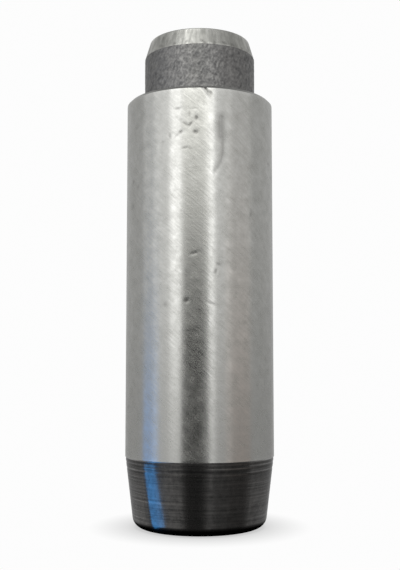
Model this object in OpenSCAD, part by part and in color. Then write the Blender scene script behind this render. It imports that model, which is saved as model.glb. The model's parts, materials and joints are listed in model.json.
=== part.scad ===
// Engine valve guide: a plain sleeve that is pressed into a cylinder head and that a
// valve stem slides in. It is turned and ground from one piece of cast iron, so it is one
// solid of revolution: a tapered nose, a ground body and a neck for the stem seal.
// The nose face stands on z = 0, the axis is +Z and the neck is at the top.

/* [Body] */
// Length from the nose face to the tip face
guide_l = 53; // [45:0.5:80]
// Ground outside diameter, a press fit in the cylinder head
body_d = 16.04; // [14:0.01:22]
// Width of the 45 degree chamfer on the shoulder's corner
shoulder_chamfer = 0.3; // [0.1:0.05:0.8]

/* [Bore] */
// Reamed diameter that the valve stem slides in
bore_d = 9.02; // [6:0.01:10.9]
// Width of the 45 degree lead-in chamfer at each end of the bore
bore_chamfer = 0.4; // [0.1:0.05:0.5]

/* [Neck] */
// Wall of the neck round the bore, which sets the diameter of the seal's seat
neck_wall = 1.59; // [1.4:0.01:2.2]
// Length from the shoulder to the tip face
neck_l = 7; // [4:0.1:12]
// Fillet in the corner between the neck and the shoulder
neck_root_r = 0.3; // [0.05:0.05:0.5]
// Length of the cone that leads the seal on to the neck
lead_l = 1.9; // [0.5:0.1:2.5]
// Half angle of that cone, in degrees
lead_angle = 17; // [5:1:18]
// Rounding on the tip's outer corner
tip_r = 0.15; // [0.05:0.05:0.3]

/* [Nose] */
// Length of the turned nose below the ground body
nose_l = 7.5; // [4:0.1:12]
// Half angle of the nose's taper, in degrees
nose_angle = 7; // [2:0.5:10]
// How far the ground body stands proud of the nose, on the radius
nose_step = 0.03; // [0.01:0.01:0.2]
// Rounding between the taper and the nose face
nose_r = 1.2; // [0.3:0.1:1.5]

/* [Hidden] */
$fn = 96;

body_r = body_d / 2;
bore_r = bore_d / 2;
neck_r = bore_r + neck_wall;
shoulder_z = guide_l - neck_l;
shoulder_w = body_r - neck_r;

// The bore's mouths take this much of each end face.
mouth_r = bore_r + bore_chamfer;

// A corner's rounding leaves at least this share of its wall as a flat face.
flat_share = 0.3;

// A cone's side starts this far inside its corner's arc, so that the two cross cleanly.
corner_sink = 0.001;

nose_wall = cone_end_r(body_r - nose_step, nose_l, nose_angle) - mouth_r;
tip_wall = cone_end_r(neck_r, lead_l, lead_angle) - mouth_r;
nose_round = min(nose_r, nose_wall * (1 - flat_share));
tip_round = min(tip_r, tip_wall * (1 - flat_share));
root_round = min(neck_root_r, (shoulder_w - shoulder_chamfer) * (1 - flat_share));

// Radius that a cone of this base radius, length and half angle has come down to.
function cone_end_r(base_r, length, angle) = base_r - length * tan(angle);

// Half section of a cone that stands on its small end, with that end's corner rounded.
// The arc's centre is one rounding inside both the end face and the cone's side.
module rounded_cone(base_r, length, angle, round) {
    centre_r = cone_end_r(base_r, length, angle) + round * tan(angle) - round / cos(angle);
    side_r = round - corner_sink;
    polygon([
        [0, 0],
        [centre_r, 0],
        [centre_r, round],
        [centre_r + side_r * cos(angle), round - side_r * sin(angle)],
        [base_r, length],
        [0, length],
    ]);
    translate([centre_r, round]) circle(r = round);
}

// Half section of the ground body, with the shoulder's corner chamfered.
module ground_body() {
    polygon([
        [0, nose_l],
        [body_r, nose_l],
        [body_r, shoulder_z - shoulder_chamfer],
        [body_r - shoulder_chamfer, shoulder_z],
        [0, shoulder_z],
    ]);
}

// Half section of the seal's seat with the fillet at its root.
module seal_seat() {
    translate([0, shoulder_z]) square([neck_r, neck_l - lead_l]);
    difference() {
        translate([neck_r, shoulder_z]) square(root_round);
        translate([neck_r + root_round, shoulder_z + root_round]) circle(r = root_round);
    }
}

// Half section of the hole: the reamed bore with a chamfer at each mouth.
module stem_bore() {
    polygon([
        [0, 0],
        [mouth_r, 0],
        [bore_r, bore_chamfer],
        [bore_r, guide_l - bore_chamfer],
        [mouth_r, guide_l],
        [0, guide_l],
    ]);
}

module valve_guide() {
    color("darkgray")
    rotate_extrude()
    difference() {
        union() {
            rounded_cone(body_r - nose_step, nose_l, nose_angle, nose_round);
            ground_body();
            seal_seat();
            translate([0, guide_l]) mirror([0, 1])
                rounded_cone(neck_r, lead_l, lead_angle, tip_round);
        }
        stem_bore();
    }
}

valve_guide();
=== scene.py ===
import json

import bpy
import numpy as np
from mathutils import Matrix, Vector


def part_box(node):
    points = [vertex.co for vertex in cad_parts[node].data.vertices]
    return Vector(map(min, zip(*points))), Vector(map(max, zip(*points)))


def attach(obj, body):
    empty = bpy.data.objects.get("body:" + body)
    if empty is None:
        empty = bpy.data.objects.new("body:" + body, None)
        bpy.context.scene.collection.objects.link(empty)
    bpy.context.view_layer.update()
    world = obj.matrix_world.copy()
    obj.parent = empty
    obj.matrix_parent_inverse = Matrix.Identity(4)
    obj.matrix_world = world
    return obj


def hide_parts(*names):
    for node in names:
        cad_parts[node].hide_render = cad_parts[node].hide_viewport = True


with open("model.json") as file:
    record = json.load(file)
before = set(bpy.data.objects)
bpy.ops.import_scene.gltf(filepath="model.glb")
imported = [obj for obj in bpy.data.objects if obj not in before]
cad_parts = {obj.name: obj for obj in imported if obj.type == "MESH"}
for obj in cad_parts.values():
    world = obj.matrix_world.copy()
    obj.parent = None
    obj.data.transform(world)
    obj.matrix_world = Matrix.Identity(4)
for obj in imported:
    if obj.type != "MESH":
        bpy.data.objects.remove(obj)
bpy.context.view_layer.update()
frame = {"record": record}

# ---------------------------------------------------------------------------
# The valve guide: a sleeve turned from one bar of grey cast iron, bored and
# reamed, and centreless-ground on its body. It is a single piece: the nose, the
# body and the neck are stretches of one outline.
# ---------------------------------------------------------------------------
MM = 0.001
mounts = {mount["name"]: mount for mount in frame["record"]["mounts"]}
bore, body, seat = mounts["stem_bore"], mounts["body_od"], mounts["seal_seat"]


def ends_of(mount):
    """Lowest and highest height of a round mount: its centre minus and plus half its length."""
    half = mount["dims"]["length_mm"] * MM / 2
    return mount["pos_m"][2] - half, mount["pos_m"][2] + half


guide_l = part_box("valve_guide")[1][2]
bore_r = bore["dims"]["r_mm"] * MM
body_r = body["dims"]["r_mm"] * MM
neck_r = seat["dims"]["r_mm"] * MM
bore_low, bore_high = ends_of(bore)
body_low, body_high = ends_of(body)
seat_low, seat_high = ends_of(seat)
shoulder_z = mounts["shoulder"]["pos_m"][2]
nose_angle = np.radians(7)
nose_step = 0.03 * MM
nose_round = 1.2 * MM
lead_angle = np.radians(17)
tip_round = 0.15 * MM


def line(start, end, step):
    """Points on the straight line from start to end, about one step apart, with the end left out."""
    start, end = np.array(start), np.array(end)
    count = max(1, int(round(np.linalg.norm(end - start) / step)))
    return start + (end - start) * np.arange(count)[:, None] / count


def arc(centre, radius, first, last, count):
    """Points on a circle from the first angle up to the last, in radians from the outward direction."""
    angle = np.linspace(first, last, count, endpoint=False)[:, None]
    return np.array(centre) + radius * np.hstack([np.cos(angle), np.sin(angle)])


def graded(low, high, coarse, fine, windows):
    """Values from low to high that stand a fine step apart inside the windows, and a coarse one outside.

    The density of values is one over the step. It ramps up and down over two coarse steps at
    each window's ends, and the values are read back from the running sum of that density.
    """
    ramp = 2 * coarse
    samples = np.linspace(low, high, 4001)
    inside = np.zeros_like(samples)
    for window_low, window_high in windows:
        rise = np.clip((samples - window_low) / ramp + 1, 0, 1)
        fall = np.clip((window_high - samples) / ramp + 1, 0, 1)
        inside = np.maximum(inside, rise * fall)
    density = 1 / coarse + (1 / fine - 1 / coarse) * inside
    running = np.concatenate([[0], np.cumsum((density[1:] + density[:-1]) / 2 * np.diff(samples))])
    count = int(round(running[-1]))
    return np.interp(np.arange(count) / count * running[-1], running, samples)


def corner_centre(base_r, length, angle, rounding):
    """Radius of the centre of the arc between an end face and a cone, one rounding inside both."""
    end_r = base_r - length * np.tan(angle)
    return end_r + rounding * np.tan(angle) - rounding / np.cos(angle)


quarter = np.pi / 2
nose_r = body_r - nose_step
nose_centre = corner_centre(nose_r, body_low, nose_angle, nose_round)
nose_side = (nose_centre + nose_round * np.cos(nose_angle), nose_round * (1 - np.sin(nose_angle)))
lead_centre = corner_centre(neck_r, guide_l - seat_high, lead_angle, tip_round)
lead_side = (
    lead_centre + tip_round * np.cos(lead_angle),
    guide_l - tip_round * (1 - np.sin(lead_angle)))
mouth_r = bore_r + bore_low
shoulder_r = body_r - (shoulder_z - body_high)
root_round = seat_low - shoulder_z
root_centre = (neck_r + root_round, shoulder_z + root_round)
# The body's rows stand closer together over the heights that have pores and scratches in front.
blemished = [(38.8 * MM, 45.6 * MM), (26.4 * MM, 28.8 * MM), (23.2 * MM, 24.1 * MM)]
body_z = graded(body_low, body_high, 0.38 * MM, 0.12 * MM, blemished)

# The outline is one closed loop: out from the bore's lower mouth, up the outside, in over the
# tip and down the bore. Each stretch names the finish that its tool left. A line's last number
# is its rows' spacing, and an arc's is its count of rows.
stretches = [
    ("faced", line((mouth_r, 0), (nose_centre, 0), 0.22 * MM)),
    ("turned", arc((nose_centre, nose_round), nose_round, -quarter, -nose_angle, 12)),
    ("turned", line(nose_side, (nose_r, body_low), 0.08 * MM)),
    ("ground", np.column_stack([np.full_like(body_z, body_r), body_z])),
    ("ground", line((body_r, body_high), (shoulder_r, shoulder_z), 0.08 * MM)),
    ("faced", line((shoulder_r, shoulder_z), (neck_r + root_round, shoulder_z), 0.2 * MM)),
    ("rough", arc(root_centre, root_round, -quarter, -2 * quarter, 5)),
    ("rough", line((neck_r, seat_low), (neck_r, seat_high), 0.12 * MM)),
    ("lead", line((neck_r, seat_high), lead_side, 0.13 * MM)),
    ("lead", arc((lead_centre, guide_l - tip_round), tip_round, lead_angle, quarter, 4)),
    ("faced", line((lead_centre, guide_l), (mouth_r, guide_l), 0.15 * MM)),
    ("reamed", line((mouth_r, guide_l), (bore_r, bore_high), 0.15 * MM)),
    ("reamed", line((bore_r, bore_high), (bore_r, bore_low), 3 * MM)),
    ("reamed", line((bore_r, bore_low), (mouth_r, 0), 0.15 * MM)),
]
FINISHES = ["ground", "turned", "lead", "rough", "faced", "reamed"]
outline = np.vstack([points for _, points in stretches])
finish_of_row = np.concatenate([
    np.full(len(points), FINISHES.index(name)) for name, points in stretches])

# Columns run round the axis from the back. They stand closer together at the front.
front = np.radians(28)
azimuth = graded(-np.pi, np.pi, np.radians(1.8), np.radians(0.65), [(-front, front)])

# The marks on it. Turning leaves a fine spiral and a few deeper rings on the nose, casting leaves
# open pores that grinding doesn't reach, and handling leaves a scratch, a nick and small dents
# along the corners.
radius, height = outline[:, 0][:, None], outline[:, 1][:, None]
turn = azimuth[None, :]
on = {name: (finish_of_row == number)[:, None] for number, name in enumerate(FINISHES)}
random = np.random.default_rng(41)


def dimple(turn_deg, z_mm, wide_mm, tall_mm, lean_deg=0.0):
    """Depth from 0 to 1 of an oval hollow with steep sides, such as a pore in a ground surface.

    The distance from its centre is measured along the hollow's two axes, which lean, and each part
    is divided by half the size that way. The depth is one over one plus that distance to the
    fourth power.
    """
    lean = np.radians(lean_deg)
    gap = (turn - np.radians(turn_deg) + np.pi) % (2 * np.pi) - np.pi
    sideways = gap * body_r
    upwards = height - z_mm * MM
    along = (sideways * np.cos(lean) + upwards * np.sin(lean)) / (wide_mm * MM / 2)
    across = (upwards * np.cos(lean) - sideways * np.sin(lean)) / (tall_mm * MM / 2)
    return 1 / (1 + (along ** 2 + across ** 2) ** 2)


# Each pore's turn in degrees, height, width and height in mm, lean in degrees, and depth's share.
FRONT_PORES = [
    (-16, 43.6, 0.75, 0.22, 2, 0.9), (-4, 43.5, 0.5, 0.16, 0, 0.4), (-7.5, 42.9, 0.2, 0.5, 0, 0.5),
    (-2.4, 42.5, 0.34, 0.42, 0, 1.0), (-10.5, 41.9, 0.8, 0.2, -38, 0.8), (-7, 41.8, 0.6, 0.2, 50, 0.9),
    (-13.5, 42.4, 0.4, 0.2, 0, 0.4), (-13.6, 41.1, 0.44, 0.3, 20, 0.9), (-16.7, 40.8, 0.7, 0.22, 35, 0.5),
    (-3, 41, 0.5, 0.36, -10, 1.0), (-23, 40.8, 0.3, 0.5, 20, 0.5), (-28.5, 40.2, 0.3, 0.3, 0, 0.4),
    (-11, 39.4, 0.8, 0.18, 8, 0.5), (-7, 39.3, 0.5, 0.18, 0, 0.3), (42, 33, 0.3, 0.6, 0, 0.7),
    (-4.4, 28.5, 0.7, 0.26, 14, 0.6), (14.5, 27.4, 0.5, 0.3, -20, 0.7), (12.2, 26.7, 0.3, 0.5, -15, 0.6),
    (-9.2, 23.7, 0.4, 0.4, 0, 1.0), (-26, 23.3, 0.4, 0.4, 0, 0.4), (9, 23.4, 0.9, 0.2, -15, 0.7),
    (8, 45.2, 0.5, 0.3, -40, 1.0), (3, 45.6, 0.7, 0.24, -35, 1.0), (-4, 45.6, 0.4, 0.2, -20, 0.6),
]
PORE_DEEP = 0.02 * MM
pores = np.zeros((len(outline), len(azimuth)))
for *spot, share in FRONT_PORES:
    pores = np.maximum(pores, share * dimple(*spot))
# The back has pores of the same kind, scattered by chance.
BACK_PORES = 34
for _ in range(BACK_PORES):
    pore_turn, pore_z = random.uniform(50, 310), random.uniform(9, 45)
    wide = random.uniform(0.45, 0.8)
    hollow = dimple((pore_turn + 180) % 360 - 180, pore_z, wide, wide * 0.6, random.uniform(-60, 60))
    pores = np.maximum(pores, random.uniform(0.3, 0.8) * hollow)
pores = pores * on["ground"]


def groove(turn_deg, z_mm, wide_mm):
    """Depth from 0 to 1 of a groove that follows a path up the body: a bell over the sideways gap.

    turn_deg is the path's turn at each row, and the groove's ends fade over the heights in z_mm.
    """
    gap = (turn - np.radians(turn_deg)) * body_r / (wide_mm * MM / 2)
    low, high = z_mm[0] * MM, z_mm[1] * MM
    fade = np.clip((height - low) / (0.6 * MM), 0, 1) * np.clip((high - height) / (0.6 * MM), 0, 1)
    return np.exp(-gap ** 2) * fade


# A scratch starts as a broad rub with one deeper edge, narrows, and then bends off to one side.
bend = np.clip((39.2 * MM - height) / (2.6 * MM), 0, 1)
rub = 0.95 * groove(16.7, (40, 43.4), 0.85)
rub_edge = 1.0 * groove(14.8, (40.2, 43.2), 0.22)
tail = 0.8 * groove(17.5 - 9 * bend ** 2, (36.6, 41.6), 0.45)
scratch = np.maximum(np.maximum(rub, rub_edge), tail)
# A nick runs down from the shoulder's corner.
nick_turn = 1.5 + (shoulder_z - height) / MM * 5
nick = groove(nick_turn, (44.4, 46.6), 0.36)
marks = np.clip(scratch + nick, 0, 1) * on["ground"]
MARK_DEEP = 0.03 * MM

# The nose keeps the tool's spiral, and three rings where the cut was deeper.
FEED = 0.36 * MM
SPIRAL_DEEP = 0.006 * MM
RING_DEEP = 0.035 * MM
spiral = np.abs(((height / FEED - turn / (2 * np.pi)) % 1) - 0.5) * 2
deep_rings = sum(np.exp(-((height - z_mm * MM) / (0.09 * MM)) ** 2) for z_mm in (7.36, 6.93, 6.3))
cut = (SPIRAL_DEEP * spiral ** 2 + RING_DEEP * deep_rings) * on["turned"]


def waves(count, size, seed):
    """Bumpy field from -1 to 1: the sum of cosine waves in random directions, one size long each.

    Each wave goes round the part a whole number of times, so that the field closes on itself.
    """
    draw = np.random.default_rng(seed)
    heading = draw.uniform(0, np.pi, count)
    per_metre = draw.uniform(0.7, 1.6, count) / size
    rounds = np.round(np.cos(heading) * per_metre * 2 * np.pi * neck_r)
    rises = np.sin(heading) * per_metre * 2 * np.pi
    phase = draw.uniform(0, 2 * np.pi, count)
    field = sum(np.cos(n * turn + k * height + p) for n, k, p in zip(rounds, rises, phase))
    return np.clip(field / np.sqrt(2 * count), -1, 1)


# The neck is left as it was cast and blasted: a fine grain over a slight waviness.
GRAIN_DEEP = 0.016 * MM
WAVY_DEEP = 0.01 * MM
grain = waves(70, 0.45 * MM, 5)
cast = (GRAIN_DEEP * grain + WAVY_DEEP * waves(30, 1.6 * MM, 6)) * on["rough"]
# The lead-in is darkened in patches just above the seat.
above_seat = (height - seat_high) / (0.35 * MM)
lead_dark_patches = np.clip(0.4 + 1.5 * waves(50, 0.9 * MM, 8) - above_seat, 0, 1) * on["lead"]
# Handling has dented the body's two outer corners here and there.
DENT_DEEP = 0.1 * MM
dents = np.clip(waves(40, 3.5 * MM, 7) - 0.45, 0, 1)
upper_corner = np.exp(-((height - body_high - 0.1 * MM) / (0.18 * MM)) ** 2)
lower_corner = np.exp(-((height - body_low - 0.05 * MM) / (0.15 * MM)) ** 2)
knocks = DENT_DEEP * dents * (upper_corner + lower_corner) * on["ground"]

# The marks sink the surface along its outward normals, which are the outline's own slope turned
# a quarter round. The outline is then swept round the axis.
sunk = PORE_DEEP * pores + MARK_DEEP * marks + cut + cast + knocks
step_on = np.roll(outline, -1, axis=0) - np.roll(outline, 1, axis=0)
outward = np.column_stack([step_on[:, 1], -step_on[:, 0]])
outward = outward / np.linalg.norm(outward, axis=1)[:, None]
surface_r = radius - sunk * outward[:, 0][:, None]
surface_z = height - sunk * outward[:, 1][:, None]
points = np.stack([surface_r * np.sin(turn), -surface_r * np.cos(turn), surface_z], axis=-1)

rows, count = surface_r.shape
row, column = np.meshgrid(np.arange(rows), np.arange(count), indexing="ij")
next_row, next_column = (row + 1) % rows, (column + 1) % count
corners = [(row, column), (row, next_column), (next_row, next_column), (next_row, column)]
faces = np.stack([r * count + c for r, c in corners], axis=-1).reshape(-1, 4)

mesh = bpy.data.meshes.new("valve_guide_body")
mesh.from_pydata(points.reshape(-1, 3), [], faces)
guide = bpy.data.objects.new("guide", mesh)
bpy.context.scene.collection.objects.link(guide)
mesh.polygons.foreach_set("material_index", np.repeat(finish_of_row, count))
mesh.polygons.foreach_set("use_smooth", np.ones(len(faces), bool))
mesh.set_sharp_from_angle(angle=np.radians(32))

# The corners that stick out are rubbed brighter than the rest.
corner_z = np.array([body_low, body_high, shoulder_z, guide_l])
rubbed = np.exp(-((height[:, :, None] - corner_z) / (0.25 * MM)) ** 2).max(axis=2)
seen_in_material = {
    "pore": pores,
    "mark": np.maximum(marks, lead_dark_patches),
    "grain": (1 + grain) / 2 * on["rough"],
    "edge": rubbed * (radius > mouth_r + 0.2 * MM),
}
for name, values in seen_in_material.items():
    attribute = mesh.attributes.new(name, "FLOAT", "POINT")
    at_points = np.broadcast_to(values, (rows, count)).astype(np.float32)
    attribute.data.foreach_set("value", at_points.ravel())

# Its finishes. The iron is the same all over, and each tool leaves it looking different: grey and
# hazy where it is ground, dark and lined where it is turned, and dull and grainy on the neck,
# where the casting's skin was only blasted. The turned nose's darkness is partly its own and partly
# painted shade, standing in for the dark surroundings below that it mirrors.


def place(tree, kind, inputs=(), **settings):
    """A new node of that kind with its settings made, and each input given a value or a link."""
    node = tree.nodes.new(kind)
    for name, value in settings.items():
        setattr(node, name, value)
    for name, value in dict(inputs).items():
        if isinstance(value, bpy.types.NodeSocket):
            tree.links.new(value, node.inputs[name])
        else:
            node.inputs[name].default_value = value
    return node


def math(tree, operation, *values, clamp=False):
    """The result of one sum on up to three numbers, each a value or a link."""
    node = place(tree, "ShaderNodeMath", dict(enumerate(values)), operation=operation, use_clamp=clamp)
    return node.outputs[0]


def effect(name, numbers, output):
    """An empty node group that reads a vector and named numbers: its tree, its inputs and its output."""
    tree = bpy.data.node_groups.new(name, "ShaderNodeTree")
    tree.interface.new_socket("Vector", in_out="INPUT", socket_type="NodeSocketVector")
    for number in numbers:
        tree.interface.new_socket(number, in_out="INPUT", socket_type="NodeSocketFloat")
    tree.interface.new_socket(output, in_out="OUTPUT", socket_type="NodeSocketFloat")
    given = tree.nodes.new("NodeGroupInput").outputs
    return tree, given, tree.nodes.new("NodeGroupOutput").inputs[output]


# Tool rings: noise that is squeezed along the axis, so that it streaks round the part. The
# height is first shifted by a broad noise, so that the rings wander up and down.
WANDERS_PER_M = 160.0
BREAKS_PER_M = 90.0
rings_group, given, result = effect("tool_rings", ["Spacing", "Wander"], "Ring")
broad = place(rings_group, "ShaderNodeTexNoise", {
    "Vector": given["Vector"], "Scale": WANDERS_PER_M, "Detail": 1.0})
split = place(rings_group, "ShaderNodeSeparateXYZ", {"Vector": given["Vector"]})
shifted = math(rings_group, "MULTIPLY_ADD", broad.outputs["Fac"], given["Wander"], split.outputs["Z"])
squeezed = place(rings_group, "ShaderNodeCombineXYZ", {
    "X": math(rings_group, "MULTIPLY", split.outputs["X"], BREAKS_PER_M),
    "Y": math(rings_group, "MULTIPLY", split.outputs["Y"], BREAKS_PER_M),
    "Z": math(rings_group, "DIVIDE", shifted, given["Spacing"])})
noise = place(rings_group, "ShaderNodeTexNoise", {
    "Vector": squeezed.outputs[0], "Scale": 1.0, "Detail": 3.0})
rings_group.links.new(noise.outputs["Fac"], result)

# Slanted streaks: the part is untwisted by so many radians for each metre of height, and then the
# noise is drawn out along the axis, so that on the part it runs round and down in a helix.
streaks_group, given, result = effect("slanted_streaks", ["Across", "Along", "Twist"], "Streak")
split = place(streaks_group, "ShaderNodeSeparateXYZ", {"Vector": given["Vector"]})
untwist = math(streaks_group, "MULTIPLY", split.outputs["Z"], given["Twist"])
untwisted = place(streaks_group, "ShaderNodeVectorRotate", {
    "Vector": given["Vector"], "Angle": untwist}, rotation_type="Z_AXIS")
split = place(streaks_group, "ShaderNodeSeparateXYZ", {"Vector": untwisted.outputs[0]})
drawn_out = place(streaks_group, "ShaderNodeCombineXYZ", {
    "X": math(streaks_group, "DIVIDE", split.outputs["X"], given["Across"]),
    "Y": math(streaks_group, "DIVIDE", split.outputs["Y"], given["Across"]),
    "Z": math(streaks_group, "DIVIDE", split.outputs["Z"], given["Along"])})
noise = place(streaks_group, "ShaderNodeTexNoise", {
    "Vector": drawn_out.outputs[0], "Scale": 1.0, "Detail": 3.0})
streaks_group.links.new(noise.outputs["Fac"], result)

# Clouding: soft noise pulled apart round its middle, as a surface looks under haze and oil.
clouds_group, given, result = effect("clouding", ["Size", "Contrast"], "Cloud")
per_size = math(clouds_group, "DIVIDE", 1.0, given["Size"])
noise = place(clouds_group, "ShaderNodeTexNoise", {
    "Vector": given["Vector"], "Scale": per_size, "Detail": 5.0, "Roughness": 0.65})
centred = math(clouds_group, "SUBTRACT", noise.outputs["Fac"], 0.5)
pulled = math(clouds_group, "MULTIPLY_ADD", centred, given["Contrast"], 0.5, clamp=True)
clouds_group.links.new(pulled, result)

# How far the neck's raised grain goes towards the dark places, and a rubbed edge towards the light.
GRAIN_DARKENS = -0.25
EDGE_LIGHTENS = 0.4
# How far pores and marks go towards the colour of the dirt in them. The lead-in's dark patches go the
# same way as marks.
PORE_DIRT = 0.55
MARK_DIRT = 0.42
DIRT = (0.08, 0.075, 0.07, 1)


def iron(name, light, dark, smooth, dull, rings, streaks, clouds, shares, deep, anisotropy):
    """One finish of the iron, from its light and smooth places to its dark and dull ones.

    rings holds the rings' spacing and wander, streaks the streaks' width, length and twist, and
    clouds the clouding's size and contrast: lengths in mm, the twist in radians for each mm. shares
    says how much of the colour each one makes, and deep how many mm the first two stand up. The
    blend of the three also drives the roughness.
    """
    material = bpy.data.materials.new(name)
    material.use_nodes = True
    tree = material.node_tree
    tree.nodes.clear()
    where = place(tree, "ShaderNodeTexCoord").outputs["Object"]
    ring = place(tree, "ShaderNodeGroup", {
        "Vector": where, "Spacing": rings[0] * MM, "Wander": rings[1] * MM},
        node_tree=rings_group).outputs[0]
    streak = place(tree, "ShaderNodeGroup", {
        "Vector": where, "Across": streaks[0] * MM, "Along": streaks[1] * MM, "Twist": streaks[2] / MM},
        node_tree=streaks_group).outputs[0]
    cloud = place(tree, "ShaderNodeGroup", {
        "Vector": where, "Size": clouds[0] * MM, "Contrast": clouds[1]},
        node_tree=clouds_group).outputs[0]
    blend = math(tree, "MULTIPLY", ring, shares[0])
    blend = math(tree, "MULTIPLY_ADD", streak, shares[1], blend)
    blend = math(tree, "MULTIPLY_ADD", cloud, shares[2], blend)
    blend = place(tree, "ShaderNodeMapRange", {
        "Value": blend, "From Min": 0.3, "From Max": 0.7}).outputs[0]
    grain = place(tree, "ShaderNodeAttribute", attribute_name="grain").outputs["Fac"]
    edge = place(tree, "ShaderNodeAttribute", attribute_name="edge").outputs["Fac"]
    pore = place(tree, "ShaderNodeAttribute", attribute_name="pore").outputs["Fac"]
    mark = place(tree, "ShaderNodeAttribute", attribute_name="mark").outputs["Fac"]
    blend = math(tree, "MULTIPLY_ADD", grain, GRAIN_DARKENS, blend, clamp=True)
    blend = math(tree, "MULTIPLY_ADD", edge, EDGE_LIGHTENS, blend, clamp=True)
    clean = place(tree, "ShaderNodeMix", {
        0: blend, 6: (*dark, 1), 7: (*light, 1)}, data_type="RGBA").outputs[2]
    in_pores = math(tree, "MULTIPLY", pore, PORE_DIRT)
    in_marks = math(tree, "MULTIPLY", mark, MARK_DIRT)
    dirt = math(tree, "MAXIMUM", in_pores, in_marks)
    soiled = place(tree, "ShaderNodeMix", {0: dirt, 6: clean, 7: DIRT}, data_type="RGBA").outputs[2]
    rough = place(tree, "ShaderNodeMapRange", {
        "Value": blend, "To Min": dull, "To Max": smooth}).outputs[0]
    relief = math(tree, "MULTIPLY_ADD", streak, deep[1], math(tree, "MULTIPLY", ring, deep[0]))
    bump = place(tree, "ShaderNodeBump", {"Height": relief, "Distance": MM}).outputs[0]
    tangent = place(tree, "ShaderNodeTangent", direction_type="RADIAL", axis="Z").outputs[0]
    shader = place(tree, "ShaderNodeBsdfPrincipled", {
        "Base Color": soiled, "Metallic": 1.0, "Roughness": rough, "Normal": bump, "Tangent": tangent,
        "Anisotropic": anisotropy, "Anisotropic Rotation": 0.25})
    place(tree, "ShaderNodeOutputMaterial", {"Surface": shader.outputs[0]})
    mesh.materials.append(material)


# They are made in the order of FINISHES, because a row's number picks its material.
iron("ground", (0.63, 0.63, 0.605), (0.475, 0.475, 0.45), 0.18, 0.31,
     rings=(0.3, 1.2), streaks=(0.3, 1.2, 0.15), clouds=(1.1, 1.2),
     shares=(0.1, 0.3, 0.6), deep=(0.002, 0.005), anisotropy=0.5)
# The turned colour is partly painted shade: a dark stand-in for the dark room below that the nose
# mirrors.
iron("turned", (0.12, 0.116, 0.112), (0.03, 0.03, 0.03), 0.20, 0.32,
     rings=(0.22, 0.3), streaks=(0.5, 3, 0), clouds=(0.5, 1.6),
     shares=(0.6, 0.15, 0.25), deep=(0.02, 0.004), anisotropy=0.5)
iron("lead", (0.82, 0.82, 0.77), (0.3, 0.3, 0.28), 0.24, 0.42,
     rings=(0.2, 0.3), streaks=(0.55, 5, 0), clouds=(0.6, 1.4),
     shares=(0.05, 0.8, 0.15), deep=(0.004, 0.035), anisotropy=0.3)
iron("rough", (0.33, 0.325, 0.315), (0.14, 0.14, 0.14), 0.32, 0.5,
     rings=(0.4, 1), streaks=(0.3, 0.6, -0.1), clouds=(0.45, 1.5),
     shares=(0.1, 0.4, 0.5), deep=(0.003, 0.014), anisotropy=0)
iron("faced", (0.62, 0.62, 0.60), (0.42, 0.42, 0.41), 0.25, 0.38,
     rings=(0.2, 0.2), streaks=(0.4, 3, 0), clouds=(0.8, 1.2),
     shares=(0.2, 0.3, 0.5), deep=(0.003, 0.004), anisotropy=0.3)
# The reamed bore's darker colour is partly painted shade, for the shadow inside the bore.
iron("reamed", (0.5, 0.5, 0.48), (0.3, 0.3, 0.3), 0.22, 0.36,
     rings=(0.15, 0.3), streaks=(0.3, 8, 0), clouds=(1, 1.2),
     shares=(0.2, 0.5, 0.3), deep=(0.003, 0.004), anisotropy=0.3)

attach(guide, "root")
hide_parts("valve_guide")

# ---------------------------------------------------------------------------
# The table: a plain pale sheet that runs on as far as the room does, with a
# painted contact shadow round the foot. It shows itself only to the camera: the
# iron mirrors the room's panels through it, and a painted shadow, a dark spot
# right under the part.
# ---------------------------------------------------------------------------
PALE = (0.98, 0.98, 0.98, 1)
reach = 4.0
sheet = bpy.data.meshes.new("table_top")
sheet_corners = [(-reach, -reach, 0), (reach, -reach, 0), (reach, reach, 0), (-reach, reach, 0)]
sheet.from_pydata(sheet_corners, [], [(0, 1, 2, 3)])
table = bpy.data.objects.new("table", sheet)
bpy.context.scene.collection.objects.link(table)
paper = bpy.data.materials.new("paper")
paper.use_nodes = True
tree = paper.node_tree
tree.nodes.clear()
# Painted contact shadow: the less of the sky is open above a place within 5 mm, the greyer it is, down to
# 0.6.
shade_reach = 5 * MM
open_sky = place(tree, "ShaderNodeAmbientOcclusion", {"Distance": shade_reach}, samples=16).outputs["AO"]
shade = place(tree, "ShaderNodeMapRange", {
    "Value": open_sky, "From Min": 0.3, "To Min": 0.6}).outputs[0]
glow = place(tree, "ShaderNodeEmission", {"Color": PALE, "Strength": shade})
# The painted shadow under the part, a dark spot that only reflections see, fades out between the foot's
# own radius and this one.
shadow_spot_r = 9.5 * MM
where = place(tree, "ShaderNodeTexCoord").outputs["Object"]
from_axis = place(tree, "ShaderNodeVectorMath", {0: where}, operation="LENGTH").outputs["Value"]
past_shadow_spot = place(tree, "ShaderNodeMapRange", {
    "Value": from_axis, "From Min": nose_side[0], "From Max": shadow_spot_r},
    interpolation_type="SMOOTHSTEP").outputs[0]
# Reflected rays are stopped black in the painted shadow round the foot, and pass through beyond it.
clear = place(tree, "ShaderNodeBsdfTransparent", {"Color": past_shadow_spot})
seen = place(tree, "ShaderNodeLightPath").outputs["Is Camera Ray"]
shown = place(tree, "ShaderNodeMixShader", {0: seen, 1: clear.outputs[0], 2: glow.outputs[0]})
place(tree, "ShaderNodeOutputMaterial", {"Surface": shown.outputs[0]})
sheet.materials.append(paper)

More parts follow.
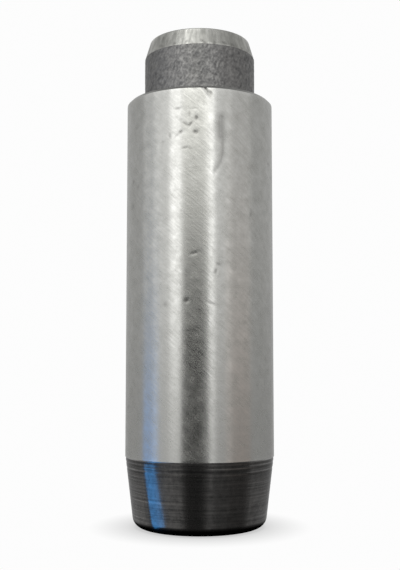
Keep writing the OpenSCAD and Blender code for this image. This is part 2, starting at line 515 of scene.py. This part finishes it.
# ---------------------------------------------------------------------------
# The light: a round room whose wall is hung with tall soft panels, each of
# them dimmer at its foot, with more panels overhead and a small blue lamp
# on the table beside the nose.
# ---------------------------------------------------------------------------
world = bpy.data.worlds.new("room")
bpy.context.scene.world = world
world.use_nodes = True
room = world.node_tree
room.nodes.clear()
towards = place(room, "ShaderNodeTexCoord").outputs["Generated"]
split = place(room, "ShaderNodeSeparateXYZ", {"Vector": towards})
to_front = math(room, "MULTIPLY", split.outputs["Y"], -1.0)
bearing = math(room, "ARCTAN2", split.outputs["X"], to_front)
lift = math(room, "ARCSINE", split.outputs["Z"])


def step(value, start_deg, end_deg):
    """0 up to the start and 1 past the end, with a smooth rise between the two angles."""
    return place(room, "ShaderNodeMapRange", {
        "Value": value, "From Min": np.radians(start_deg), "From Max": np.radians(end_deg)},
        interpolation_type="SMOOTHSTEP").outputs[0]


def between(angle, start_deg, end_deg, soft_deg):
    """1 from the start to the end of a span of degrees, fading to 0 over soft_deg at both.

    The gap to the span's middle is folded at half a turn, and compared with half its width.
    """
    gap = math(room, "SUBTRACT", angle, np.radians((start_deg + end_deg) / 2))
    gap = math(room, "ABSOLUTE", math(room, "WRAP", gap, np.pi, -np.pi))
    half = (end_deg - start_deg) / 2
    return math(room, "SUBTRACT", 1.0, step(gap, half - soft_deg / 2, half + soft_deg / 2))


# Each wall panel's two bearings in degrees, and its strength below the table's level, at its foot
# and at its top. A bearing of 0 is the camera's side, and -90 is the left.
WALL = {
    "behind": (150, 210, 0.7, 0.4, 0.5),
    "left_far": (-150, -98, 1.2, 0.36, 0.5),
    "left_side": (-98, -76, 0.4, 0.25, 0.72),
    "left": (-76, -46, 1.0, 0.38, 1.0),
    "left_edge": (-46, -28, 0.9, 0.32, 1.93),
    "front_dark": (-28, 7, 0.1, 0.01, 0.02),
    "front_right": (7, 14, 0.32, 0.1, 0.22),
    "right_edge": (14, 23, 0.7, 0.44, 2.0),
    "right": (23, 50, 0.28, 0.33, 0.9),
    "right_side": (50, 88, 0.18, 0.23, 0.66),
    "right_far": (88, 150, 0.85, 0.31, 0.51),
}
WALL_SOFT = 5
over_table = step(lift, -20, -12)
rise = step(lift, -10, 11)
wall_light = 0.0
for name, (start_deg, end_deg, below, foot, top) in WALL.items():
    strength = math(room, "MULTIPLY_ADD", over_table, foot - below, below)
    strength = place(room, "ShaderNodeMath", {
        0: rise, 1: top - foot, 2: strength}, operation="MULTIPLY_ADD", name=name).outputs[0]
    span = between(bearing, start_deg, end_deg, WALL_SOFT)
    wall_light = math(room, "MULTIPLY_ADD", span, strength, wall_light)
# The light is halved towards the ceiling, and straight down it is an even grey.
DOWN = 0.45
ceiling = math(room, "MULTIPLY_ADD", step(lift, 28, 50), -0.5, 1.0)
not_down = step(lift, -55, -30)
wall_light = math(room, "MULTIPLY", math(room, "MULTIPLY", wall_light, ceiling), not_down)
total = math(room, "MULTIPLY_ADD", math(room, "SUBTRACT", 1.0, not_down), DOWN, wall_light)

# Each patch's bearings, lifts and softness in degrees, and the colour that it adds.
PATCHES = {
    "low_blue": (-95, -67, -12, -2, 5, (0.0, 0.22, 0.66)),
    "low_warm": (40, 83, -12, 8, 8, (0.06, 0.02, 0.0)),
    "left_lean": (-30, -22, 5, 11, 5, (0.5, 0.5, 0.5)),
    "over_front": (-27, 14.5, 11.6, 38, 5, (1.75, 1.75, 1.7)),
    "over_ahead": (-40, 6, 38, 75, 8, (0.9, 0.9, 0.9)),
}
for name, (start_deg, end_deg, low_deg, high_deg, soft_deg, colour) in PATCHES.items():
    across = between(bearing, start_deg, end_deg, soft_deg)
    mask = math(room, "MULTIPLY", across, between(lift, low_deg, high_deg, soft_deg))
    total = place(room, "ShaderNodeVectorMath", {0: mask, 1: colour, 2: total},
                  operation="MULTIPLY_ADD", name=name).outputs[0]
seen = place(room, "ShaderNodeLightPath").outputs["Is Camera Ray"]
shown = place(room, "ShaderNodeMix", {0: seen, 6: total, 7: PALE}, data_type="RGBA").outputs[2]
sky = place(room, "ShaderNodeBackground", {"Color": shown}).outputs[0]
place(room, "ShaderNodeOutputWorld", {"Surface": sky})

# The small blue lamp faces the nose, with its foot on the table, and leans back a little.
lamp_high = 7 * MM
lamp_wide = 1.85 * MM
lamp_lean = np.radians(16.6)
lamp_glow = 2.2
lamp = bpy.data.lights.new("blue", "AREA")
lamp.shape = "RECTANGLE"
lamp.size, lamp.size_y = lamp_high, lamp_wide
lamp.color = (0.06, 0.4, 1.0)
lamp.energy = lamp_glow * np.pi * lamp_high * lamp_wide
lamp.spread = np.radians(140)
holder = bpy.data.objects.new("blue_lamp", lamp)
bpy.context.scene.collection.objects.link(holder)
holder.location = (-6.2 * MM, -6.25 * MM, 3.35 * MM)
holder.rotation_euler = (0, -quarter - lamp_lean, 0)
holder.visible_camera = False

# ---------------------------------------------------------------------------
# The camera: held close to the part, a third of the way up it, and tilted up
# a little, so that the shoulder and the nose curve opposite ways.
# ---------------------------------------------------------------------------
camera_away = 99.2 * MM
camera_up = 17.3 * MM
camera_tilt = np.radians(5.0)
lens = bpy.data.cameras.new("camera")
camera = bpy.data.objects.new("camera", lens)
bpy.context.scene.collection.objects.link(camera)
camera.location = (0.04 * MM, -camera_away, camera_up)
camera.rotation_euler = (quarter + camera_tilt, 0, 0)
lens.lens = 57.2
lens.clip_start = 5 * MM
bpy.context.scene.camera = camera
bpy.context.scene.view_settings.view_transform = "Standard"
